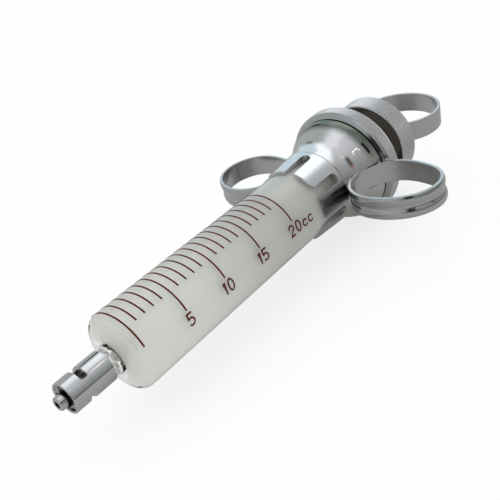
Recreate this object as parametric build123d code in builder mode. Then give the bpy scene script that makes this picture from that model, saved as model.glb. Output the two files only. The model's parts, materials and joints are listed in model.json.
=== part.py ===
from build123d import *
import os
from math import cos, radians, sin

# A reusable three-ring control syringe: glass barrel and plunger in a plated metal mount.
#
# Frame: the origin is on the syringe axis, at the mouth of the lock sleeve. +X runs out of the
# needle end, +Z is up out of the plane of the finger rings, and +Y points to the right-hand ring.
# A "station" is a distance back from the origin, along -X. All sizes are millimetres.

os.makedirs("parts", exist_ok=True)

# ---------------------------------------------------------------- driving dimensions

running_gap = 0.05          # radial clearance of anything that turns or slides
loose_gap = 0.10            # clearance round parts that stay put
face_gap = 0.05             # axial gap between stacked pieces that move apart or turn

# Needle end
nozzle_reach = 2.3          # how far the nozzle stands out of the lock sleeve
nozzle_tip_radius = 1.98
nozzle_taper = 0.03         # radius gained per millimetre: a six per cent taper
nozzle_edge = 0.3
nozzle_bore_radius = 1.0
nozzle_flange_rear = 8.2
spigot_radius = 1.5
spigot_rear = 12.0
tip_radius = 4.6            # outside of the lock sleeve and the ferrule
sleeve_bore_radius = 3.9
sleeve_rear = 6.6
ferrule_bore_radius = 3.7
ferrule_rear = 13.2
window_width = 2.1          # saw cuts across the lock sleeve
web_half_width = 2.47       # metal left on each side of the axis between the two saw cuts
window_roll = -10.0
lug_radius = 3.3
sleeve_mouth_bevel = 0.15
lug_front = 0.8
lug_width = 1.1
lug_gap = 5.2               # way in for the ears of a needle hub
neck_cup_front = 8.6

# Glass barrel
barrel_radius = 11.75
barrel_wall = 1.6
neck_radius = 3.35
neck_root_radius = 4.1
neck_root_fillet = 1.5
neck_bore_radius = 1.65
throat_round = 1.4          # where the neck's bore opens into the barrel
face_lean = 16.0            # the front face is a shallow cone: degrees back from square
face_apex = 14.6            # station where that cone would meet the axis
face_wall = 1.2
shoulder_radius = 2.3
bore_corner = 0.4
zero_station = 19.35        # the plunger's full-diameter edge at 0 cc
ground_seat_front = 94.8    # from here back the glass is ground to size for the metal mount
ground_seat_depth = 0.05
ground_seat_lead = 0.6      # length of the slight taper down to the ground seat
flange_radius = 14.0
flange_front = 120.3
flange_rear = 123.0

# Collet and bell housing
collet_front = 95.3
collet_seam = 107.5
collet_tip_radius = 12.6
collar_radius = 13.4
collet_spigot_radius = 12.25
collet_rear = 111.0
slot_count = 7
slot_first = 10.6           # degrees from +Z towards +Y
slot_width = 3.4
slot_rear = 105.7
bell_start = 109.5
bell_rear = 122.0
bell_radius = 17.9
seat_station = 119.4        # where the front gasket sits
seat_radius = 14.3
thread_radius = 16.6
thread_rear = 127.4

# Lock nut, washers and gaskets
nut_front = 122.9
nut_rear = 129.0
nut_radius = 19.7
nut_bevel_station = 124.2
nut_face_radius = 17.9
nut_boss_front = 124.8
nut_groove_rear = 127.6
passage_radius = 10.6       # opening that the plunger runs through
gasket_thickness = 0.8
rim_bevel = 0.45            # outer corners of the nut and the cap

# Finger rings: an oval loop of grooved strip, drawn in polar form about its own centre
ring_centre_station = 111.34
ring_centre_offset = 28.4
ring_mean_radius = 14.34
ring_oval = 1.5
ring_egg = 0.36
ring_egg_turn = 13.8
ring_lean_right = 11.75     # the long axis leans forward on the right ring
ring_lean_left = -21.7      # and back on the left one
ring_drop_right = 0.2       # the rings stand a little below the axis
ring_drop_left = 0.5
ring_points = 24
strip_width = 7.1
strip_thickness = 1.25
strip_edge_setback = 0.35   # the lips round over to the strip's edges
strip_groove_depth = 0.55
strip_groove_width = 1.2

# Plunger and its cap
plunger_wall = 1.5
plunger_edge = 0.6
plunger_end_wall = 2.2
plunger_flange_radius = 12.5
plunger_flange_front = 141.6
plunger_flange_rear = 144.0
cap_front = 138.9
cap_rear = 147.45
cap_radius = 15.5
cap_bore_radius = 13.9
cap_face_thickness = 1.6
plate_front = 144.8
boss_radius = 4.6
boss_rear = 149.6

# Thumb ring and its swivel stud
thumb_centre_station = 164.7
thumb_radius = 14.7
thumb_thickness = 1.15
thumb_width = 7.2
thumb_edge_radius = 0.3
thumb_roll = -6.0           # the swivel stands slightly turned at rest
stud_radius = 2.0
stud_head_radius = 3.2
stud_head_height = 1.4
spot_face_depth = 0.15
stud_front = 145.2
clip_thickness = 0.7
recess_radius = 3.4
recess_rear = 146.1

# ---------------------------------------------------------------- values that follow

bore_radius = barrel_radius - barrel_wall
seated_radius = barrel_radius - ground_seat_depth
mount_bore_radius = seated_radius + running_gap
plunger_radius = bore_radius - running_gap
lean_sin = sin(radians(face_lean))
lean_cos = cos(radians(face_lean))
bore_apex = face_apex + face_wall / lean_cos
plunger_edge_rise = plunger_edge + (plunger_radius - plunger_edge) * lean_sin
plunger_apex = zero_station - plunger_edge_rise / lean_cos
nozzle_root_radius = nozzle_tip_radius + nozzle_taper * (nozzle_reach + sleeve_rear)
thumb_front = thumb_centre_station - thumb_radius
stud_head_front = thumb_front + thumb_thickness - spot_face_depth
nut_slip_front = flange_rear + gasket_thickness + face_gap
hollow_radius = plunger_radius - plunger_wall
hollow_apex = plunger_apex + plunger_end_wall
cap_cavity_front = cap_front + cap_face_thickness
thumb_axis_direction = (0, -sin(radians(thumb_roll)), cos(radians(thumb_roll)))
thumb_axis = Axis((-thumb_centre_station, 0, 0), thumb_axis_direction)
side = Plane(origin=(0, 0, 0), x_dir=(-1, 0, 0), z_dir=(0, 1, 0))


def band(start, end, inner, outer, mode=Mode.ADD):
    """A rectangle in the side plane, between two stations and two radii."""
    with Locations(((start + end) / 2, (inner + outer) / 2)):
        Rectangle(end - start, outer - inner, mode=mode)


def cross_section(station):
    """The plane square to the axis at a station, facing the needle end."""
    return Plane.YZ.offset(-station)


def cone_arc(apex, radius, bend):
    """The arc from a cylinder to a cone that is parallel to the glass face.

    A positive bend is the arc's radius at the cone's outer end, a negative one at its inner end.
    """
    height = radius - bend
    along = apex + (bend + height * lean_sin) / lean_cos
    CenterArc((along, height), abs(bend), 90 if bend > 0 else 270, 90 - face_lean)
    turn = radians(180 - face_lean if bend > 0 else -face_lean)
    on_cylinder = (along, radius)
    on_cone = (along + abs(bend) * cos(turn), height + abs(bend) * sin(turn))
    return on_cylinder, on_cone


def ring_outline(lean, side_sign):
    """Points on the outside of a finger ring, in the X-Y plane."""
    points = []
    for step in range(ring_points):
        turn = radians(step * 360 / ring_points)
        egg = ring_egg * cos(3 * (turn + radians(ring_egg_turn)))
        radius = ring_mean_radius + ring_oval * cos(2 * turn) + egg
        along = -ring_centre_station + radius * sin(turn + radians(lean))
        out = ring_centre_offset + radius * cos(turn + radians(lean))
        points.append((along, side_sign * out))
    return points


right_outline = ring_outline(ring_lean_right, 1)
left_outline = ring_outline(ring_lean_left, -1)

# ---------------------------------------------------------------- needle end

# Male taper with its seating flange, and the spigot that runs into the glass neck
with BuildPart() as luer_nozzle:
    with BuildSketch(side):
        with BuildLine():
            Polyline(
                (-nozzle_reach, nozzle_bore_radius),
                (-nozzle_reach, nozzle_tip_radius - nozzle_edge),
                (nozzle_edge - nozzle_reach, nozzle_tip_radius),
                (sleeve_rear, nozzle_root_radius),
                (sleeve_rear, ferrule_bore_radius),
                (nozzle_flange_rear, ferrule_bore_radius),
                (nozzle_flange_rear, spigot_radius),
                (spigot_rear, spigot_radius),
                (spigot_rear, nozzle_bore_radius),
                close=True,
            )
        make_face()
    revolve(axis=Axis.X)
luer_nozzle.part.label = "luer_nozzle"
export_step(luer_nozzle.part, "parts/luer_nozzle.step")

# Lock sleeve: a tube with two inner lugs at its mouth and two saw cuts across its rear end
with BuildPart() as lock_sleeve:
    with BuildSketch(side):
        band(0, sleeve_rear, sleeve_bore_radius, tip_radius)
    revolve(axis=Axis.X)
    with BuildSketch(cross_section(lug_front + lug_width)):
        Circle(sleeve_bore_radius + 0.3)
        Circle(lug_radius, mode=Mode.SUBTRACT)
        Rectangle(lug_gap, 4 * tip_radius, mode=Mode.SUBTRACT)
    extrude(amount=lug_width)
    with BuildSketch(cross_section(sleeve_rear)):
        with Locations(Rotation(0, 0, -window_roll)):
            with Locations((0, web_half_width + tip_radius / 2), (0, -web_half_width - tip_radius / 2)):
                Rectangle(3 * tip_radius, tip_radius)
    extrude(amount=window_width, mode=Mode.SUBTRACT)
    mouth_edges = lock_sleeve.edges().filter_by(GeomType.CIRCLE).group_by(Axis.X)[-1]
    chamfer(mouth_edges, sleeve_mouth_bevel)
lock_sleeve.part.label = "lock_sleeve"
export_step(lock_sleeve.part, "parts/lock_sleeve.step")

# Ferrule: the cup behind the lock sleeve that holds the glass neck
with BuildPart() as tip_ferrule:
    with BuildSketch(side):
        band(sleeve_rear, ferrule_rear, ferrule_bore_radius, tip_radius)
    revolve(axis=Axis.X)
    chamfer(tip_ferrule.edges().filter_by(GeomType.CIRCLE).sort_by(SortBy.RADIUS)[-2:], 0.12)
tip_ferrule.part.label = "tip_ferrule"
export_step(tip_ferrule.part, "parts/tip_ferrule.step")

# Cement that bonds the neck into the ferrule
with BuildPart() as tip_cement:
    with BuildSketch(side):
        band(nozzle_flange_rear, neck_cup_front, spigot_radius + loose_gap, ferrule_bore_radius)
        band(neck_cup_front, ferrule_rear - 0.2, neck_radius, ferrule_bore_radius)
    revolve(axis=Axis.X)
tip_cement.part.label = "tip_cement"
export_step(tip_cement.part, "parts/tip_cement.step")

# ---------------------------------------------------------------- glass barrel

# Neck, conical face, long tube and rear flange in one piece, ground to size at the rear
with BuildPart() as glass_barrel:
    with BuildSketch(side):
        with BuildLine():
            neck_root, face_inner = cone_arc(face_apex, neck_root_radius, -neck_root_fillet)
            tube_start, face_outer = cone_arc(face_apex, barrel_radius, shoulder_radius)
            bore_start, bore_outer = cone_arc(bore_apex, bore_radius, bore_corner)
            Line(face_inner, face_outer)
            Polyline(
                tube_start,
                (ground_seat_front - ground_seat_lead, barrel_radius),
                (ground_seat_front, seated_radius),
                (flange_front, seated_radius),
                (flange_front, flange_radius),
                (flange_rear, flange_radius),
                (flange_rear, bore_radius),
                bore_start,
            )
            throat_rear, bore_inner = cone_arc(bore_apex, neck_bore_radius, -throat_round)
            Line(bore_outer, bore_inner)
            Polyline(
                throat_rear,
                (neck_cup_front, neck_bore_radius),
                (neck_cup_front, neck_radius),
                (ferrule_rear, neck_radius),
                (ferrule_rear, neck_root_radius),
                neck_root,
            )
        make_face()
    revolve(axis=Axis.X)
    rim_edges = glass_barrel.edges().filter_by(GeomType.CIRCLE).sort_by(SortBy.RADIUS)[-2:]
    fillet(rim_edges, 0.6)
glass_barrel.part.label = "glass_barrel"
export_step(glass_barrel.part, "parts/glass_barrel.step")

# ---------------------------------------------------------------- metal mount

# Collet: spring fingers that grip the barrel, on a spigot pressed into the bell housing
with BuildPart() as barrel_collet:
    with BuildSketch(side):
        with BuildLine():
            Polyline(
                (collet_front, mount_bore_radius),
                (collet_front, collet_tip_radius - 0.2),
                (collet_front + 0.2, collet_tip_radius),
                (collet_seam - 0.2, collar_radius),
                (collet_seam, collar_radius - 0.2),
                (collet_seam, collet_spigot_radius),
                (collet_rear, collet_spigot_radius),
                (collet_rear, mount_bore_radius),
                close=True,
            )
        make_face()
    revolve(axis=Axis.X)
    for finger in range(slot_count):
        turn = radians(slot_first + finger * 360 / slot_count)
        with BuildSketch(Plane(origin=(0, 0, 0), x_dir=(-1, 0, 0), z_dir=(0, sin(turn), cos(turn)))):
            band(collet_front - 1, slot_rear - slot_width / 2, -slot_width / 2, slot_width / 2)
            with Locations((slot_rear - slot_width / 2, 0)):
                Circle(slot_width / 2)
        extrude(amount=2 * collar_radius, mode=Mode.SUBTRACT)
barrel_collet.part.label = "barrel_collet"
export_step(barrel_collet.part, "parts/barrel_collet.step")

# Bell housing: collar, flared bell, gasket seat and the male thread for the lock nut, with
# a pocket milled into each side where a finger ring is seated
with BuildPart() as bell_housing:
    with BuildSketch(side):
        with BuildLine():
            front = Polyline(
                (collet_rear, mount_bore_radius),
                (collet_rear, collet_spigot_radius),
                (collet_seam, collet_spigot_radius),
                (collet_seam, collar_radius - 0.2),
                (collet_seam + 0.2, collar_radius),
                (bell_start, collar_radius),
            )
            flare = Bezier(
                front @ 1,
                (bell_start + 6.5, collar_radius + 0.2),
                (bell_start + 7.5, bell_radius - 0.4),
                (bell_rear, bell_radius),
            )
            Polyline(
                flare @ 1,
                (bell_rear, thread_radius),
                (thread_rear, thread_radius),
                (thread_rear, seat_radius),
                (seat_station, seat_radius),
                (seat_station, mount_bore_radius),
                front @ 0,
            )
        make_face()
    revolve(axis=Axis.X)
    for outline, drop in ((right_outline, ring_drop_right), (left_outline, ring_drop_left)):
        with BuildSketch(Plane.XY.offset(-drop)):
            with BuildLine():
                Spline(*outline, periodic=True)
            make_face()
        extrude(amount=strip_width / 2, both=True, mode=Mode.SUBTRACT)
bell_housing.part.label = "bell_housing"
export_step(bell_housing.part, "parts/bell_housing.step")

# ---------------------------------------------------------------- finger rings

# Each ring is a loop of strip swept along its outline and brazed into its pocket. The strip is
# flat inside the ring and has two rounded lips with a groove between them outside.
strip_half = strip_width / 2
groove_half = strip_groove_width / 2
groove_side = strip_groove_depth - 0.1
lip_crest = (strip_half + groove_half) / 2

for ring_name, outline, drop, inward in (
    ("finger_ring_right", right_outline, ring_drop_right, -1),
    ("finger_ring_left", left_outline, ring_drop_left, 1),
):
    with BuildPart() as finger_ring:
        with BuildLine(Plane.XY.offset(-drop)) as path:
            Spline(*outline, periodic=True)
        with BuildSketch(Plane(origin=path.line @ 0, x_dir=(0, inward, 0), z_dir=path.line % 0)):
            with BuildLine():
                upper = ThreePointArc(
                    (strip_edge_setback, strip_half), (0, lip_crest), (groove_side, groove_half)
                )
                valley = ThreePointArc(upper @ 1, (strip_groove_depth, 0), (groove_side, -groove_half))
                lower = ThreePointArc(valley @ 1, (0, -lip_crest), (strip_edge_setback, -strip_half))
                Polyline(lower @ 1, (strip_thickness, -strip_half), (strip_thickness, strip_half), upper @ 0)
            make_face()
        sweep(path=path.line)
    finger_ring.part.label = ring_name
    export_step(finger_ring.part, f"parts/{ring_name}.step")

# ---------------------------------------------------------------- flange clamp

# Soft washers on each side of the glass flange
with BuildPart() as front_gasket:
    with BuildSketch(side):
        band(flange_front - gasket_thickness, flange_front, seated_radius + loose_gap, flange_radius)
    revolve(axis=Axis.X)
front_gasket.part.label = "front_gasket"
export_step(front_gasket.part, "parts/front_gasket.step")

with BuildPart() as rear_gasket:
    with BuildSketch(side):
        band(flange_rear, flange_rear + gasket_thickness, passage_radius, flange_radius)
    revolve(axis=Axis.X)
rear_gasket.part.label = "rear_gasket"
export_step(rear_gasket.part, "parts/rear_gasket.step")

# Slip washer: it moves with the lock nut but does not turn with it
with BuildPart() as nut_slip_washer:
    with BuildSketch(side):
        band(nut_slip_front, nut_boss_front - face_gap, passage_radius, flange_radius)
    revolve(axis=Axis.X)
nut_slip_washer.part.label = "nut_slip_washer"
export_step(nut_slip_washer.part, "parts/nut_slip_washer.step")

# Lock nut: bevelled front lip, a skirt over the housing's thread, and an inner boss that
# presses on the slip washer
with BuildPart() as lock_nut:
    with BuildSketch(side):
        with BuildLine():
            Polyline(
                (nut_front, thread_radius + running_gap),
                (nut_front, nut_face_radius),
                (nut_bevel_station, nut_radius),
                (nut_rear - rim_bevel, nut_radius),
                (nut_rear, nut_radius - rim_bevel),
                (nut_rear, passage_radius),
                (nut_boss_front, passage_radius),
                (nut_boss_front, seat_radius - loose_gap),
                (nut_groove_rear, seat_radius - loose_gap),
                (nut_groove_rear, thread_radius + running_gap),
                close=True,
            )
        make_face()
    revolve(axis=Axis.X)
lock_nut.part.label = "lock_nut"
export_step(lock_nut.part, "parts/lock_nut.step")

# ---------------------------------------------------------------- plunger and cap

# Glass plunger: a hollow ground tube with a conical nose, and a flange inside the cap
with BuildPart() as glass_plunger:
    with BuildSketch(side):
        with BuildLine():
            body_start, nose = cone_arc(plunger_apex, plunger_radius, plunger_edge)
            hollow_start, hollow_nose = cone_arc(hollow_apex, hollow_radius, plunger_edge)
            Polyline(
                body_start,
                (plunger_flange_front, plunger_radius),
                (plunger_flange_front, plunger_flange_radius),
                (plunger_flange_rear, plunger_flange_radius),
                (plunger_flange_rear, hollow_radius),
                hollow_start,
            )
            Polyline(hollow_nose, (hollow_apex, 0), (plunger_apex, 0), nose)
        make_face()
    revolve(axis=Axis.X)
glass_plunger.part.label = "glass_plunger"
export_step(glass_plunger.part, "parts/glass_plunger.step")

# Plunger cap: a knurled cup that screws forward off the back plate to free the glass
with BuildPart() as plunger_cap:
    with BuildSketch(side):
        with BuildLine():
            Polyline(
                (cap_front, plunger_radius + loose_gap),
                (cap_front, cap_radius - rim_bevel),
                (cap_front + rim_bevel, cap_radius),
                (cap_rear - rim_bevel, cap_radius),
                (cap_rear, cap_radius - rim_bevel),
                (cap_rear, cap_bore_radius),
                (cap_cavity_front, cap_bore_radius),
                (cap_cavity_front, plunger_radius + loose_gap),
                close=True,
            )
        make_face()
    revolve(axis=Axis.X)
plunger_cap.part.label = "plunger_cap"
export_step(plunger_cap.part, "parts/plunger_cap.step")

# Slip washer between the cup's face and the glass flange
with BuildPart() as cap_slip_washer:
    with BuildSketch(side):
        band(
            cap_cavity_front + face_gap,
            plunger_flange_front - face_gap,
            plunger_radius + loose_gap,
            plunger_flange_radius,
        )
    revolve(axis=Axis.X)
cap_slip_washer.part.label = "cap_slip_washer"
export_step(cap_slip_washer.part, "parts/cap_slip_washer.step")

# Soft disc behind the glass flange
with BuildPart() as plunger_cushion:
    with BuildSketch(side):
        band(plunger_flange_rear + face_gap, plate_front, recess_radius, plunger_flange_radius)
    revolve(axis=Axis.X)
plunger_cushion.part.label = "plunger_cushion"
export_step(plunger_cushion.part, "parts/plunger_cushion.step")

# Back plate: the disc that the cup screws on to. Its boss carries the thumb ring's stud, and a
# recess in its front face takes the clip on the stud's end
with BuildPart() as cap_back_plate:
    with BuildSketch(side):
        band(plate_front, cap_rear, stud_radius + running_gap, cap_bore_radius - running_gap)
        band(cap_rear, boss_rear, stud_radius + running_gap, boss_radius)
        band(plate_front, recess_rear, 0, recess_radius, Mode.SUBTRACT)
    revolve(axis=Axis.X)
    boss_edges = cap_back_plate.edges().filter_by(GeomType.CIRCLE).group_by(Axis.X)[0]
    fillet(boss_edges.sort_by(SortBy.RADIUS)[-1], 0.6)
cap_back_plate.part.label = "cap_back_plate"
export_step(cap_back_plate.part, "parts/cap_back_plate.step")

# ---------------------------------------------------------------- thumb ring

# Plain strip loop, drilled and spot-faced for its stud, and turned a little about the axis
with BuildPart() as thumb_ring:
    with BuildSketch(Plane.XZ.rotated((thumb_roll, 0, 0))):
        with Locations((-thumb_front - thumb_thickness / 2, 0)):
            RectangleRounded(thumb_thickness, thumb_width, thumb_edge_radius)
    revolve(axis=thumb_axis)
    with BuildSketch(cross_section(stud_head_front)):
        Circle(stud_radius)
    extrude(amount=2 * thumb_thickness, mode=Mode.SUBTRACT)
    with BuildSketch(cross_section(stud_head_front)):
        Circle(stud_head_radius + loose_gap)
    extrude(amount=-stud_head_height, mode=Mode.SUBTRACT)
thumb_ring.part.label = "thumb_ring"
export_step(thumb_ring.part, "parts/thumb_ring.step")

# Stud: domed head inside the ring, shank through the strip, the washer and the boss
with BuildPart() as swivel_stud:
    with BuildSketch(side):
        with BuildLine():
            shank = Polyline(
                (stud_front, 0),
                (stud_front, stud_radius),
                (stud_head_front, stud_radius),
                (stud_head_front, stud_head_radius),
                (stud_head_front + stud_head_height / 3, stud_head_radius),
            )
            crown = TangentArc((stud_head_front + stud_head_height, 0), shank @ 1, tangent=(0, 1))
            Line(crown @ 0, shank @ 0)
        make_face()
    revolve(axis=Axis.X)
swivel_stud.part.label = "swivel_stud"
export_step(swivel_stud.part, "parts/swivel_stud.step")

# Clip pressed on the stud's front end, inside the back plate's recess
with BuildPart() as stud_clip:
    with BuildSketch(side):
        band(stud_front, stud_front + clip_thickness, stud_radius, recess_radius - 2 * loose_gap)
    revolve(axis=Axis.X)
stud_clip.part.label = "stud_clip"
export_step(stud_clip.part, "parts/stud_clip.step")

# Washer between the boss and the thumb ring
with BuildPart() as swivel_washer:
    with BuildSketch(side):
        band(boss_rear + face_gap, thumb_front, stud_radius + running_gap, boss_radius - 0.6)
    revolve(axis=Axis.X)
swivel_washer.part.label = "swivel_washer"
export_step(swivel_washer.part, "parts/swivel_washer.step")
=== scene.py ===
import json
from math import ceil, cos, degrees, hypot, pi, radians, sin

import bmesh
import bpy
from mathutils import Matrix, Vector


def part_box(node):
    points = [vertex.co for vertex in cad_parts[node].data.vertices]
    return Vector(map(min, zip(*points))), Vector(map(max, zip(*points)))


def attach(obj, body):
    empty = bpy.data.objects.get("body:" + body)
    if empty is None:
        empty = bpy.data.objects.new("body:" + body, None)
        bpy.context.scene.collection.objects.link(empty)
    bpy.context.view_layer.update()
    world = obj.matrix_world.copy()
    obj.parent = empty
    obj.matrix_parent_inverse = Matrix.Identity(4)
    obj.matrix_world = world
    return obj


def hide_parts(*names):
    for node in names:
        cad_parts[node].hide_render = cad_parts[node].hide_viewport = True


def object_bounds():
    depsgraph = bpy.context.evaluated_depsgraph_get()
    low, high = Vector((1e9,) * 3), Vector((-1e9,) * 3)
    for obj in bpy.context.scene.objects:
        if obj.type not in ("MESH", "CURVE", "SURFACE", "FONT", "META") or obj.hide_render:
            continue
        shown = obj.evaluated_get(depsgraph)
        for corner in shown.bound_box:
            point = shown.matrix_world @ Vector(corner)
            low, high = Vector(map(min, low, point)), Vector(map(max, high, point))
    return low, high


# A reusable three-ring glass syringe. The CAD nodes give every shape except the knurled rims and
# the enamel scale, which are made here. Lengths are metres; the axis of the syringe is X, and a
# "station" is a distance back from the mouth of the lock sleeve, along -X.

MM = 0.001
ALONG, ACROSS, UP = 0, 1, 2     # the syringe's own axis, its right-hand side, and up

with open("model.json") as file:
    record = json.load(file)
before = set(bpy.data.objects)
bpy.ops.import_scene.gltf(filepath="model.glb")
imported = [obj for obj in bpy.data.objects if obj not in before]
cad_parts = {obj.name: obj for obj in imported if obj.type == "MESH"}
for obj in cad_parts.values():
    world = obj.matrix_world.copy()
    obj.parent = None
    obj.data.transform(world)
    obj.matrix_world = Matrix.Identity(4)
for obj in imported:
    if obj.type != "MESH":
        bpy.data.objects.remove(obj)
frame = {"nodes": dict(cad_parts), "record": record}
cad_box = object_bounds()
record = frame["record"]
mounts = {mount["name"]: mount for mount in record["mounts"]}
joints = {joint["name"]: joint for joint in record["behaviour"]["joints"]}

tube_radius = mounts["barrel_seat"]["dims"]["r_mm"] * MM
scale_length = joints["plunger_slide"]["range_m"][1]


# ---------------------------------------------------------------- node helpers

class Tree:
    """A node tree with short calls: node() adds a node, feed() links or sets one of its inputs.

    An input is named by its label, with _ for a space, or by its number as i0, i1 and so on.
    """

    def __init__(self, tree):
        self.tree = tree
        tree.nodes.clear()

    def node(self, kind, settings=None, **inputs):
        made = self.tree.nodes.new("ShaderNode" + kind)
        for key, value in (settings or {}).items():
            setattr(made, key, value)
        for key, value in inputs.items():
            self.feed(made, key, value)
        return made

    def feed(self, made, key, value):
        numbered = key[0] == "i" and key[1:].isdigit()
        socket = made.inputs[int(key[1:]) if numbered else key.replace("_", " ")]
        if isinstance(value, bpy.types.NodeSocket):
            self.tree.links.new(value, socket)
        else:
            socket.default_value = value

    def math(self, operation, *values):
        made = self.node("Math", {"operation": operation})
        for index, value in enumerate(values):
            self.feed(made, f"i{index}", value)
        return made.outputs[0]

    def mix(self, factor, first, second):
        made = self.node("Mix", {"data_type": "RGBA"})
        for index, value in ((0, factor), (6, first), (7, second)):
            self.feed(made, f"i{index}", value)
        return made.outputs[2]

    def smooth(self, value, low, high, start=0.0, end=1.0):
        made = self.node("MapRange", {"interpolation_type": "SMOOTHSTEP"})
        for index, number in enumerate((value, low, high, start, end)):
            self.feed(made, f"i{index}", number)
        return made.outputs[0]

    def mapped(self, scale=(1, 1, 1)):
        place = self.node("TexCoord").outputs["Object"]
        return self.node("Mapping", Vector=place, Scale=scale).outputs[0]

    def place(self, axis):
        """The place of the shaded point along one axis, in metres."""
        return self.node("SeparateXYZ", Vector=self.mapped()).outputs[axis]

    def noise(self, scale, detail=3.0, roughness=0.5, stretch=(1, 1, 1)):
        place = self.mapped(stretch)
        made = self.node("TexNoise", Vector=place, Scale=scale, Detail=detail, Roughness=roughness)
        return made.outputs["Fac"]

    def bump(self, height, strength, distance, normal=None):
        made = self.node("Bump", Height=height, Strength=strength, Distance=distance)
        if normal is not None:
            self.feed(made, "Normal", normal)
        return made.outputs[0]

    def rounded(self, radius):
        return self.node("Bevel", {"samples": 4}, Radius=radius).outputs[0]

    def mirrored(self):
        """1 for a reflected ray that has not been through the glass, and 0 for any other."""
        path = self.node("LightPath")
        outside = self.math("LESS_THAN", path.outputs["Transmission Depth"], 0.5)
        return self.math("MULTIPLY", path.outputs["Is Glossy Ray"], outside)


def grey(value, warmth=0.0):
    return (value * (1 + warmth), value, value * (1 - warmth), 1)


def new_material(name):
    made = bpy.data.materials.new(name)
    made.use_nodes = True
    tree = Tree(made.node_tree)
    return made, tree


def finish_material(tree, shader):
    tree.node("OutputMaterial", Surface=shader)


# ---------------------------------------------------------------- materials

def plated_metal(name, tone, roughness, grain, stretch, edge, warmth=-0.01, satin=None, dark=None):
    """Chrome plate: faint cloudiness, fine polishing lines and softened edges.

    satin is (station where it ends, length of the change, roughness in front of it).
    dark is (colour, ramps): a painted shade, where the plate's colour darkens to that colour where all
    ramps are full. A ramp is (axis, millimetres where it is off, millimetres where it is full).
    """
    made, tree = new_material(name)
    cloud = tree.noise(90.0, 4.0)
    lines = tree.noise(grain, 2.0, 0.6, stretch)
    colour = tree.mix(cloud, grey(tone * 0.94, warmth), grey(tone, warmth))
    rough = tree.smooth(tree.math("ADD", cloud, lines), 0.6, 1.4, roughness * 0.7, roughness * 1.3)
    if satin:
        satin_end, change, satin_roughness = satin
        extra = satin_roughness - roughness
        extra = tree.smooth(tree.place(ALONG), -satin_end, change - satin_end, 0.0, extra)
        rough = tree.math("ADD", rough, extra)
    # Painted shade: the plate's colour darkens where all ramps are full.
    if dark:
        shade_colour, ramps = dark
        shade_zone = 1.0
        for axis, off, full in ramps:
            shade_zone = tree.math("MULTIPLY", shade_zone, tree.smooth(tree.place(axis), off * MM, full * MM))
        colour = tree.mix(shade_zone, colour, shade_colour)
    normal = tree.bump(lines, 0.08, 0.02 * MM, tree.rounded(edge))
    normal = tree.bump(cloud, 0.04, 0.3 * MM, normal)
    shader = tree.node("BsdfPrincipled", Base_Color=colour, Metallic=1.0, Roughness=rough, Normal=normal)
    finish_material(tree, shader.outputs[0])
    return made


def clear_glass():
    """Blown glass: faintly grey-green, with slow ripples, and a painted shade that greys it where the
    mount grips it.

    Shadow rays and soft light pass straight through, so that light gets inside.
    """
    made, tree = new_material("clear_glass")
    ripple = tree.noise(40.0, 1.0, 0.4, (0.3, 1, 1))
    tint = tree.mix(ripple, (0.975, 0.982, 0.975, 1), (0.985, 0.99, 0.983, 1))
    # Painted shade: the glass is tinted grey from where the mount grips it backwards.
    mount_shade = tree.smooth(tree.place(ALONG), -98.0 * MM, -101.0 * MM)
    tint = tree.mix(mount_shade, tint, (0.76, 0.77, 0.75, 1))
    normal = tree.bump(ripple, 0.05, 0.4 * MM)
    glass = tree.node("BsdfGlass", Color=tint, Roughness=0.0, IOR=1.5, Normal=normal)
    passing = tree.node("BsdfTransparent", Color=(0.942, 0.95, 0.94, 1))
    path = tree.node("LightPath")
    passes = tree.math("MAXIMUM", path.outputs["Is Shadow Ray"], path.outputs["Is Diffuse Ray"])
    shader = tree.node("MixShader", i0=passes, i1=glass.outputs[0], i2=passing.outputs[0])
    finish_material(tree, shader.outputs[0])
    return made


def ground_glass():
    """Fine-ground glass: milky, with faint grinding marks, and a painted shade that darkens it towards
    the mount.
    """
    made, tree = new_material("ground_glass")
    cloud = tree.noise(60.0, 3.0, 0.5, (0.4, 1, 1))
    marks = tree.noise(500.0, 2.0, 0.6, (1, 0.1, 0.1))
    colour = tree.mix(cloud, (0.79, 0.79, 0.78, 1), (0.83, 0.83, 0.815, 1))
    # Painted shade: darker from 30 mm back to 84 mm back, towards the mount.
    rear_shade = tree.smooth(tree.place(ALONG), -30.0 * MM, -84.0 * MM)
    colour = tree.mix(rear_shade, colour, (0.50, 0.50, 0.485, 1))
    normal = tree.bump(marks, 0.05, 0.01 * MM)
    milky = tree.node("BsdfDiffuse", Color=colour, Normal=normal)
    through = tree.node("BsdfTranslucent", Color=colour, Normal=normal)
    sheen = tree.node("BsdfGlossy", Color=(1, 1, 1, 1), Roughness=0.35, Normal=normal)
    body = tree.node("MixShader", i0=0.15, i1=milky.outputs[0], i2=through.outputs[0])
    shader = tree.node("MixShader", i0=0.04, i1=body.outputs[0], i2=sheen.outputs[0])
    finish_material(tree, shader.outputs[0])
    return made


def ground_bore():
    """The barrel's bore: lightly ground, so mostly clear with a milky haze."""
    made, tree = new_material("ground_bore")
    cloud = tree.noise(60.0, 3.0, 0.5, (0.4, 1, 1))
    milky = tree.node("BsdfDiffuse", Color=(0.88, 0.885, 0.87, 1))
    clear = tree.node("BsdfTransparent", Color=(0.99, 0.99, 0.985, 1))
    amount = tree.smooth(cloud, 0.2, 0.8, 0.10, 0.16)
    shader = tree.node("MixShader", i0=amount, i1=clear.outputs[0], i2=milky.outputs[0])
    finish_material(tree, shader.outputs[0])
    return made


def fired_enamel():
    """Dark red-brown enamel, slightly patchy and matt."""
    made, tree = new_material("scale_enamel")
    patchy = tree.noise(700.0, 3.0)
    colour = tree.mix(patchy, (0.11, 0.011, 0.005, 1), (0.07, 0.008, 0.004, 1))
    normal = tree.bump(patchy, 0.2, 0.03 * MM)
    shader = tree.node(
        "BsdfPrincipled", Base_Color=colour, Roughness=0.55, Specular_IOR_Level=0.12, Normal=normal
    )
    finish_material(tree, shader.outputs[0])
    return made


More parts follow.
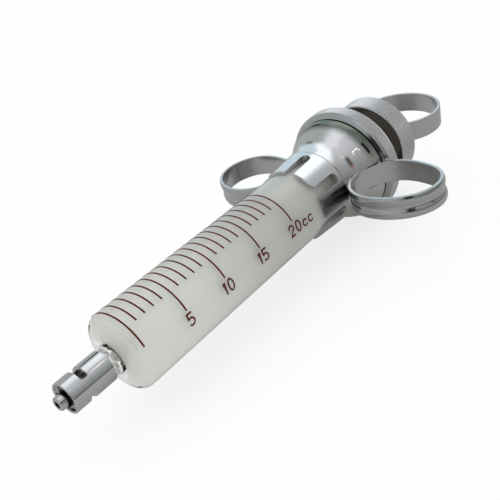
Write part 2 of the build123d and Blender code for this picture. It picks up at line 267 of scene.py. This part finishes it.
def soft_material(name, dark, light, roughness, scale):
    """Rubber, nylon and cement: matt, with a fine mottled grain."""
    made, tree = new_material(name)
    mottle = tree.noise(scale, 4.0, 0.6)
    normal = tree.bump(mottle, 0.3, 0.05 * MM)
    shader = tree.node(
        "BsdfPrincipled", Base_Color=tree.mix(mottle, dark, light), Roughness=roughness, Normal=normal
    )
    finish_material(tree, shader.outputs[0])
    return made


# Grain stretches, which turn a noise into lines
along_axis = (0.04, 1, 1)
round_axis = (1, 0.05, 0.05)
round_ring = (0.05, 0.05, 1)
no_lines = (1, 1, 1)

# Painted shade and dark reflections, a darker colour on the plate: the bell's upper rim by the nut
# (green-grey), the nozzle inside its sleeve, and the lower right of the collet
bell_rim_painted_shade = ((0.16, 0.185, 0.155, 1), ((ALONG, -117.0, -120.0), (ALONG, -122.2, -122.0), (UP, 2.0, 12.0)))
nozzle_painted_shade = ((0.15, 0.148, 0.14, 1), ((ALONG, 1.2, -0.2),))
collet_painted_shade = ((0.17, 0.175, 0.17, 1), ((ACROSS, 6.0, 10.0), (UP, 5.5, 1.5), (UP, -4.0, -1.0)))
bell_satin = (117.0 * MM, 4.0 * MM, 0.18)

mirror = plated_metal("polished_chrome", 0.74, 0.06, 900.0, along_axis, 0.10 * MM)
bell_chrome = plated_metal(
    "bell_chrome", 0.76, 0.05, 900.0, along_axis, 0.10 * MM, 0.0, satin=bell_satin, dark=bell_rim_painted_shade
)
# Painted shade: the cap's front face, in the gap behind the nut, is coloured a dark warm bronze.
painted_shade_face = plated_metal("painted_shade_cap_face", 0.12, 0.22, 1500.0, round_axis, 0.10 * MM, 0.12)
bevel_metal = plated_metal("bevel_chrome", 0.60, 0.12, 1500.0, round_axis, 0.08 * MM)
nozzle_metal = plated_metal(
    "nozzle_chrome", 0.70, 0.12, 1500.0, round_axis, 0.10 * MM, dark=nozzle_painted_shade
)
collet_metal = plated_metal(
    "collet_chrome", 0.76, 0.10, 1500.0, round_axis, 0.12 * MM, dark=collet_painted_shade
)
turned = plated_metal("turned_chrome", 0.76, 0.10, 1500.0, round_axis, 0.12 * MM)
ring_metal = plated_metal("ring_chrome", 0.62, 0.17, 1400.0, round_ring, 0.20 * MM)
knurl_metal = plated_metal("satin_chrome", 0.73, 0.24, 2500.0, no_lines, 0.05 * MM)
steel = plated_metal("bare_steel", 0.50, 0.28, 1200.0, round_axis, 0.05 * MM)
glass = clear_glass()
frosted = ground_glass()
bore_glass = ground_bore()
enamel = fired_enamel()
gasket = soft_material("soft_gasket", (0.012, 0.012, 0.012, 1), (0.03, 0.03, 0.028, 1), 0.75, 1500.0)
nylon = soft_material("slip_washer", (0.62, 0.60, 0.55, 1), (0.72, 0.70, 0.66, 1), 0.5, 900.0)
cement = soft_material("cement", (0.70, 0.69, 0.65, 1), (0.80, 0.79, 0.75, 1), 0.9, 1200.0)

finishes = {
    "luer_nozzle": nozzle_metal,
    "lock_sleeve": mirror,
    "tip_ferrule": mirror,
    "tip_cement": cement,
    "glass_barrel": glass,
    "barrel_collet": collet_metal,
    "bell_housing": bell_chrome,
    "finger_ring_right": ring_metal,
    "finger_ring_left": ring_metal,
    "front_gasket": gasket,
    "rear_gasket": gasket,
    "nut_slip_washer": nylon,
    "lock_nut": knurl_metal,
    "glass_plunger": frosted,
    "plunger_cap": knurl_metal,
    "cap_slip_washer": nylon,
    "plunger_cushion": gasket,
    "cap_back_plate": turned,
    "thumb_ring": ring_metal,
    "swivel_stud": turned,
    "stud_clip": steel,
    "swivel_washer": steel,
}

for node_name, finish in finishes.items():
    data = frame["nodes"][node_name].data
    data.materials.clear()
    data.materials.append(finish)

# The straight inner wall of the barrel is ground, with its rounded corner; the rest is clear
ground_inner, ground_outer = 9.75 * MM, 10.16 * MM
barrel_data = frame["nodes"]["glass_barrel"].data
barrel_data.materials.append(bore_glass)
for polygon in barrel_data.polygons:
    if ground_inner < hypot(polygon.center.y, polygon.center.z) < ground_outer:
        polygon.material_index = 1


# ---------------------------------------------------------------- mesh helpers

def make_object(name, builder, material, body):
    """Turns a finished bmesh into a piece that rides on a body."""
    bmesh.ops.recalc_face_normals(builder, faces=builder.faces)
    mesh = bpy.data.meshes.new(name)
    builder.to_mesh(mesh)
    builder.free()
    mesh.materials.append(material)
    piece = bpy.data.objects.new(name, mesh)
    bpy.context.scene.collection.objects.link(piece)
    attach(piece, body)
    return piece


def on_axis(station, radius, angle):
    """A point at a station, a radius from the axis and an angle from +Z towards +Y."""
    return Vector((-station, radius * sin(angle), radius * cos(angle)))


def grid_faces(builder, rows, close_rows, close_columns):
    """Quads between equal rows of vertices."""
    row_total = len(rows) if close_rows else len(rows) - 1
    for r in range(row_total):
        this_row = rows[r]
        next_row = rows[(r + 1) % len(rows)]
        count = len(this_row)
        for c in range(count if close_columns else count - 1):
            d = (c + 1) % count
            builder.faces.new((this_row[c], this_row[d], next_row[d], next_row[c]))


# ---------------------------------------------------------------- knurled rims

knurl_pitch = 0.75 * MM
knurl_depth = 0.20 * MM
tooth_heights = (0.0, 0.6, 1.0, 0.6)    # from one valley round to the next
steps_per_tooth = len(tooth_heights)
tiny = 1e-7


def knurled_solid(name, node, body, outline, rim_radius, plain_sides, plain_finish):
    """A turned ring whose outer rim is cut with a fine diamond knurl.

    The outline is a closed list of (station, radius); its one side at the rim radius gets the
    knurl. Sides that start at the outline points in plain_sides get the plain finish.
    """
    teeth = round(2 * pi * rim_radius / knurl_pitch)
    steps = teeth * steps_per_tooth
    profile = []
    for index, (station, radius) in enumerate(outline):
        end_station, end_radius = outline[(index + 1) % len(outline)]
        profile.append((station, radius, index in plain_sides, 0))
        if abs(radius - rim_radius) < tiny and abs(end_radius - rim_radius) < tiny:
            cuts = round(abs(end_station - station) / (knurl_pitch / 2))
            for cut in range(1, cuts):
                between = station + (end_station - station) * cut / cuts
                profile.append((between, radius, False, cut))
    builder = bmesh.new()
    rows = []
    for step in range(steps):
        angle = 2 * pi * step / steps
        row = []
        for station, radius, _, cut in profile:
            tooth = tooth_heights[(step + 2 * cut) % steps_per_tooth]
            depth = knurl_depth * (1 - tooth) if abs(radius - rim_radius) < tiny else 0.0
            row.append(builder.verts.new(on_axis(station, radius - depth, angle)))
        rows.append(row)
    grid_faces(builder, rows, True, True)
    for index, face in enumerate(builder.faces):
        face.material_index = 1 if profile[index % len(profile)][2] else 0
    piece = make_object(name, builder, knurl_metal, body)
    piece.data.materials.append(plain_finish)
    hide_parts(node)


def extent(node):
    """Front station, rear station and outer radius of a CAD node that is round about the axis."""
    low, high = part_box(node)
    return -high.x, -low.x, high.z


nut_front, nut_rear, nut_radius = extent("lock_nut")
cap_front, cap_rear, cap_radius = extent("plunger_cap")
washer_rear = extent("nut_slip_washer")[1]
passage_radius = 10.6 * MM
thread_radius = 16.65 * MM
nut_face_radius = 17.9 * MM
nut_bevel = 1.3 * MM
nut_rim_lead = 0.15 * MM
rim_bevel = 0.45 * MM
thread_end = nut_rear - 1.4 * MM
boss_front = washer_rear + 0.05 * MM
boss_radius = 14.2 * MM
cap_opening = 10.2 * MM
cap_bore = 13.9 * MM
cap_face = 1.6 * MM
cap_edge = 0.12 * MM
cap_edge_width = 0.3 * MM

knurled_solid("lock_nut_knurled", "lock_nut", "lock_nut", [
    (nut_front, thread_radius),
    (nut_front, nut_face_radius),
    (nut_front + nut_bevel * 0.5, (nut_face_radius + nut_radius) / 2),
    (nut_front + nut_bevel, nut_radius - knurl_depth * 1.5),
    (nut_front + nut_bevel + nut_rim_lead, nut_radius),
    (nut_rear - rim_bevel, nut_radius),
    (nut_rear, nut_radius - rim_bevel),
    (nut_rear, passage_radius),
    (boss_front, passage_radius),
    (boss_front, boss_radius),
    (thread_end, boss_radius),
    (thread_end, thread_radius),
], nut_radius, (0, 1, 2), bevel_metal)

knurled_solid("plunger_cap_knurled", "plunger_cap", "plunger_cap", [
    (cap_front, cap_opening),
    (cap_front, cap_radius - rim_bevel - cap_edge_width),
    (cap_front + cap_edge, cap_radius - rim_bevel),
    (cap_front + rim_bevel, cap_radius),
    (cap_rear - rim_bevel, cap_radius),
    (cap_rear, cap_radius - rim_bevel),
    (cap_rear, cap_bore),
    (cap_front + cap_face, cap_bore),
    (cap_front + cap_face, cap_opening),
], cap_radius, (0, 1), painted_shade_face)


# ---------------------------------------------------------------- enamel scale

zero_behind_nose = 3.348 * MM
zero_station = -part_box("glass_plunger")[1].x + zero_behind_nose
divisions = 20
division = scale_length / divisions
line_width = 0.52 * MM
line_proud = 0.05 * MM
line_buried = 0.01 * MM
line_start = radians(-37.0)     # angles round the tube, from +Z towards +Y
short_end = radians(37.7)
long_end = radians(69.0)
figure_top = radians(74.5)
figure_height = 3.32 * MM
figure_width = 1.9 * MM
figure_gap = 1.3 * MM
stroke_end_steps = 5            # steps in the quarter turn at the end of a stroke


def ribbon(builder, path, width):
    """A thin raised band along a path of (along, around) points on the tube, with round ends.

    "along" is a station, "around" is an arc length on the tube's surface from +Z towards +Y.
    """
    half = width / 2
    closed = (Vector(path[0]) - Vector(path[-1])).length < tiny
    points = [Vector(p) for p in (path[:-1] if closed else path)]
    left, right = [], []
    for index, point in enumerate(points):
        before = points[index - 1] if closed or index > 0 else point
        after = points[(index + 1) % len(points)] if closed or index < len(points) - 1 else point
        forward = (after - before).normalized()
        across = Vector((-forward.y, forward.x))
        turn_in = (point - before).normalized() if (point - before).length > 0 else forward
        widen = half / max(0.5, across.dot(Vector((-turn_in.y, turn_in.x))))
        left.append(point + across * widen)
        right.append(point - across * widen)
    if not closed:
        left, right = round_ends(points, left, right, half)

    def ring(flat, radius):
        return [builder.verts.new(on_axis(p.x, radius, p.y / tube_radius)) for p in flat]

    top = tube_radius + line_proud
    base = tube_radius - line_buried
    rows = [ring(left, base), ring(left, top), ring(right, top), ring(right, base)]
    grid_faces(builder, rows, True, closed)
    if not closed:
        for end in (0, -1):
            builder.faces.new([row[end] for row in rows])


def round_ends(points, left, right, half):
    """Adds short narrowing steps so that a stroke ends in a half circle."""
    start_direction = (points[0] - points[1]).normalized()
    end_direction = (points[-1] - points[-2]).normalized()
    head_left, head_right, tail_left, tail_right = [], [], [], []
    for step in range(1, stroke_end_steps):
        turn = radians(90) * step / stroke_end_steps
        reach, spread = half * sin(turn), half * cos(turn)
        for centre, direction, side_left, side_right in (
            (points[0], start_direction, head_left, head_right),
            (points[-1], end_direction, tail_left, tail_right),
        ):
            across = Vector((-direction.y, direction.x)) * (-1 if centre is points[0] else 1)
            side_left.append(centre + direction * reach + across * spread)
            side_right.append(centre + direction * reach - across * spread)
    left = head_left[::-1] + left + tail_left
    right = head_right[::-1] + right + tail_right
    return left, right


def arc(centre, radii, start, end, steps=20):
    """Points on an ellipse, in a figure's own box: x to the right, y up, angles in degrees."""
    points = []
    for step in range(steps + 1):
        turn = radians(start + (end - start) * step / steps)
        points.append((centre[0] + radii[0] * cos(turn), centre[1] + radii[1] * sin(turn)))
    return points


def glyph(character):
    """Strokes of a plain figure, 1 high, and its width."""
    w = figure_width / figure_height
    if character == "0":
        return [arc((w / 2, 0.5), (w / 2, 0.5), 90, 450, 36)], w
    if character == "1":
        return [[(0.0, 0.80), (0.14, 1.0), (0.14, 0.0)]], 0.14
    if character == "2":
        hook = arc((w / 2, 0.71), (w / 2, 0.29), 175, -35, 18)
        return [hook + [(w * 0.42, 0.30), (0.03, 0.0), (w, 0.0)]], w
    if character == "5":
        bowl = arc((w * 0.45, 0.31), (w * 0.55, 0.31), 128, -135, 22)
        return [[(w * 0.92, 1.0), (w * 0.10, 1.0), (0.02, 0.50)] + bowl], w
    if character == "c":
        return [arc((w / 2, 0.30), (w / 2, 0.30), 40, 320, 24)], w
    raise ValueError(character)


def write_figures(builder, text, mark_station):
    """Writes figures with their tops towards the mark; digits centre on it and units follow."""
    digits = [c for c in text if c.isdigit()]
    widths = [glyph(c)[1] * figure_height for c in digits]
    station = mark_station - (sum(widths) + figure_gap * (len(digits) - 1)) / 2
    for character in text:
        strokes, width = glyph(character)
        for stroke in strokes:
            flat = [
                (station + x * figure_height, figure_top * tube_radius + (1 - y) * figure_height)
                for x, y in stroke
            ]
            ribbon(builder, flat, line_width)
        station += width * figure_height + figure_gap * (1.0 if character.isdigit() else 0.7)


line_builder = bmesh.new()
figure_builder = bmesh.new()
for mark in range(divisions + 1):
    station = zero_station + mark * division
    sweep = (long_end if mark % 5 == 0 else short_end) - line_start
    steps = ceil(degrees(sweep) / 2)
    angles = [line_start + sweep * step / steps for step in range(steps + 1)]
    ribbon(line_builder, [(station, tube_radius * angle) for angle in angles], line_width)
for mark, text in ((5, "5"), (10, "10"), (15, "15"), (20, "20cc")):
    write_figures(figure_builder, text, zero_station + mark * division)
make_object("scale_lines", line_builder, enamel, "barrel")
make_object("scale_figures", figure_builder, enamel, "barrel")


# ---------------------------------------------------------------- studio

low, high = cad_box
floor_size = 3.0

bpy.ops.mesh.primitive_plane_add(size=floor_size, location=(0, 0, low.z))
floor = bpy.context.object
floor.name = "floor"


def floor_material():
    """Near-white to the camera with a soft contact shade; mid grey in reflections, with a painted shadow
    under the object and darker on the far side.
    """
    made, tree = new_material("floor")
    mottle = tree.noise(25.0, 3.0)
    shade = tree.node("AmbientOcclusion", {"samples": 8}, Distance=0.06).outputs["AO"]
    pale = tree.mix(mottle, (0.985, 0.985, 0.985, 1), (1, 1, 1, 1))
    lit = tree.mix(tree.smooth(shade, 0.0, 1.0), (0.80, 0.80, 0.81, 1), pale)
    seen = tree.node("Emission", Color=lit, Strength=1.0)
    far_side = tree.smooth(tree.place(ACROSS), 0.09, 0.17)
    table = tree.mix(far_side, (0.44, 0.44, 0.43, 1), (0.14, 0.145, 0.135, 1))
    table = tree.mix(tree.smooth(shade, 0.25, 1.0), (0.20, 0.20, 0.19, 1), table)
    reflected = tree.node("Emission", Color=table, Strength=1.0)
    shader = tree.node("MixShader", i0=tree.mirrored(), i1=seen.outputs[0], i2=reflected.outputs[0])
    finish_material(tree, shader.outputs[0])
    return made


floor.data.materials.append(floor_material())


# What the metal reflects, from the back layer to the front one: colour, (azimuth, elevation) of the
# middle, (half width, half height) and width of the soft edge, all in degrees
panels = (
    ((0.92, 0.94, 0.97, 1), (0, 90), (180, 10), 12),            # light overhead
    ((0.46, 0.48, 0.48, 1), (-60, 30), (60, 25), 25),           # left wall
    ((1.32, 1.35, 1.38, 1), (-165, 47), (24, 10), 25),          # main light, behind
    ((0.70, 0.83, 0.91, 1), (-140, 20), (12, 20), 8),           # bluish window
    ((0.05, 0.07, 0.07, 1), (-119, 33), (1.5, 7), 3),           # its dark frame
    ((0.05, 0.04, 0.03, 1), (100, 31), (6, 10), 4),             # dark stand on the right
    ((0.40, 0.17, 0.06, 1), (101, 15), (3, 3), 2),              # warm lamp below it
    ((0.03, 0.02, 0.015, 1), (33, 14), (8, 16), 6),             # dark stand in front
)
spark_colour = (4.0, 3.9, 3.5, 1)
sparks = ((118, 50), (128, 53), (112, 46), (73, 36), (70, 40))


def studio_world():
    """A grey room for reflections, a soft dome for matt surfaces and white behind everything."""
    world = bpy.data.worlds.new("studio")
    bpy.context.scene.world = world
    world.use_nodes = True
    tree = Tree(world.node_tree)
    direction = tree.node("TexCoord").outputs["Generated"]
    x, y, z = tree.node("SeparateXYZ", Vector=direction).outputs
    azimuth = tree.math("MULTIPLY", tree.math("ARCTAN2", y, x), degrees(1))
    elevation = tree.math("MULTIPLY", tree.math("ARCSINE", z), degrees(1))

    def panel(colour, centre, half, soft, over):
        turn = tree.math("WRAP", tree.math("SUBTRACT", azimuth, centre[0]), 180.0, -180.0)
        rise = tree.math("SUBTRACT", elevation, centre[1])
        wide = tree.smooth(tree.math("ABSOLUTE", turn), half[0] + soft, half[0])
        tall = tree.smooth(tree.math("ABSOLUTE", rise), half[1] + soft, half[1])
        return tree.mix(tree.math("MULTIPLY", wide, tall), over, colour)

    room = tree.mix(tree.smooth(elevation, -5.0, 75.0), (0.27, 0.28, 0.27, 1), (0.70, 0.71, 0.74, 1))
    for colour, centre, half, soft in panels:
        room = panel(colour, centre, half, soft, room)
    for centre in sparks:
        room = panel(spark_colour, centre, (0.5, 0.5), 0.6, room)
    dome = tree.mix(tree.smooth(y, -0.8, 0.9), (1.02, 1.02, 1.02, 1), (0.84, 0.845, 0.83, 1))
    seen = tree.mix(tree.mirrored(), dome, room)
    seen = tree.mix(tree.node("LightPath").outputs["Is Camera Ray"], seen, (1, 1, 1, 1))
    background = tree.node("Background", Color=seen, Strength=1.0)
    tree.node("OutputWorld", Surface=background.outputs[0])


studio_world()


def soft_light(name, azimuth, elevation, distance, size, watts):
    """A softbox that faces the middle of the object and lights only what is not mirror-like."""
    data = bpy.data.lights.new(name, "AREA")
    data.shape = "RECTANGLE"
    data.size, data.size_y = size
    data.energy = watts
    lamp = bpy.data.objects.new(name, data)
    bpy.context.scene.collection.objects.link(lamp)
    a, e = radians(azimuth), radians(elevation)
    away = Vector((cos(a) * cos(e), sin(a) * cos(e), sin(e)))
    lamp.location = (low + high) / 2 + away * distance
    lamp.rotation_mode = "QUATERNION"
    lamp.rotation_quaternion = (-away).to_track_quat("-Z", "Y")
    lamp.visible_glossy = False


soft_light("key_softbox", -170, 60, 0.9, (0.9, 0.8), 1.6)
soft_light("fill_softbox", 60, 40, 1.1, (0.8, 0.5), 0.4)


# ---------------------------------------------------------------- camera

# Three-quarter view from the needle end, right-hand side and above, slightly rolled
camera_back = Vector((0.5933, 0.6653, 0.4532)).normalized()
camera_right = Vector((-0.6135, 0.7382, -0.2805))
camera_place = Vector((58.2, 146.0, 97.6)) * MM

camera_up = camera_back.cross(camera_right).normalized()
camera_right = camera_up.cross(camera_back)
camera_data = bpy.data.cameras.new("camera")
camera_data.sensor_width = 36.0
camera_data.lens = 52.52
camera_data.clip_start = 0.005
camera = bpy.data.objects.new("camera", camera_data)
bpy.context.scene.collection.objects.link(camera)
turned_axes = Matrix((camera_right, camera_up, camera_back)).transposed().to_4x4()
camera.matrix_world = Matrix.Translation(camera_place) @ turned_axes
bpy.context.scene.camera = camera
bpy.context.scene.view_settings.view_transform = "Standard"
